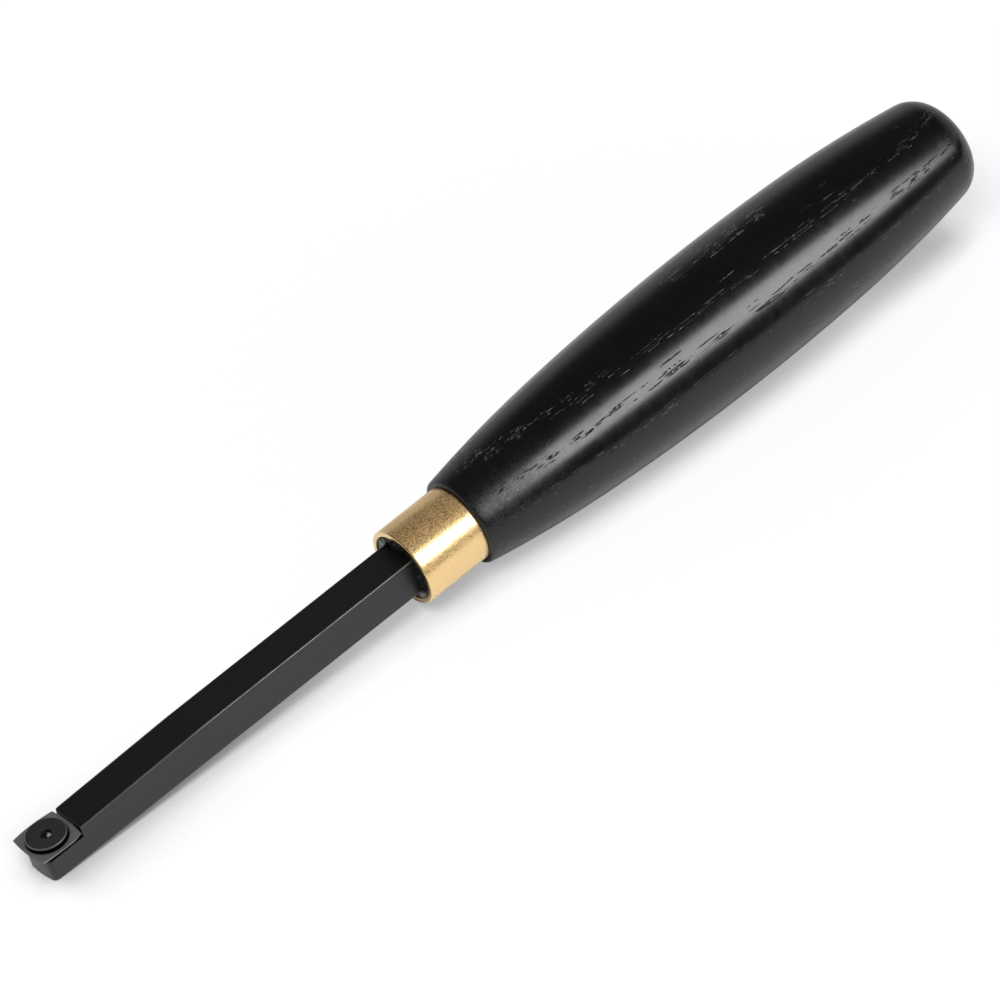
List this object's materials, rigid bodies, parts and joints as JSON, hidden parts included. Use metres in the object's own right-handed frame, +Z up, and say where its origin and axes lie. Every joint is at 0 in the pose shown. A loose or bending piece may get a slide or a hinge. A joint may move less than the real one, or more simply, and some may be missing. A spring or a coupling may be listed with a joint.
{
  "type": "carbide turning tool",
  "caption": "Woodturning scraper: replaceable square carbide cutter screwed into a pocket in a square blackened steel bar, with a brass ferrule and a turned black wooden handle.",
  "frame": {"origin": "middle of the tool's bounding box, on the surface that the tool lies on", "axes": "+X from the cutter to the butt of the handle, +Z up from that surface; the tool lies with its cutter facing up, tipped 3.84 degrees nose down"},
  "size_m": [0.2526, 0.031, 0.0335],
  "materials": {
    "black_oxide_steel": "satin black oxide on a ground bar",
    "carbide": "fine ground grey carbide",
    "screw_steel": "black oxide, slightly shiny",
    "brass": "satin, finely speckled",
    "stained_wood": "black stain and satin lacquer over open-pored grain"
  },
  "bodies": {
    "root": {"shank": "black_oxide_steel", "cutter": "carbide", "cutter_screw": "screw_steel", "ferrule": "brass", "handle": "stained_wood"}
  },
  "joints": []
}
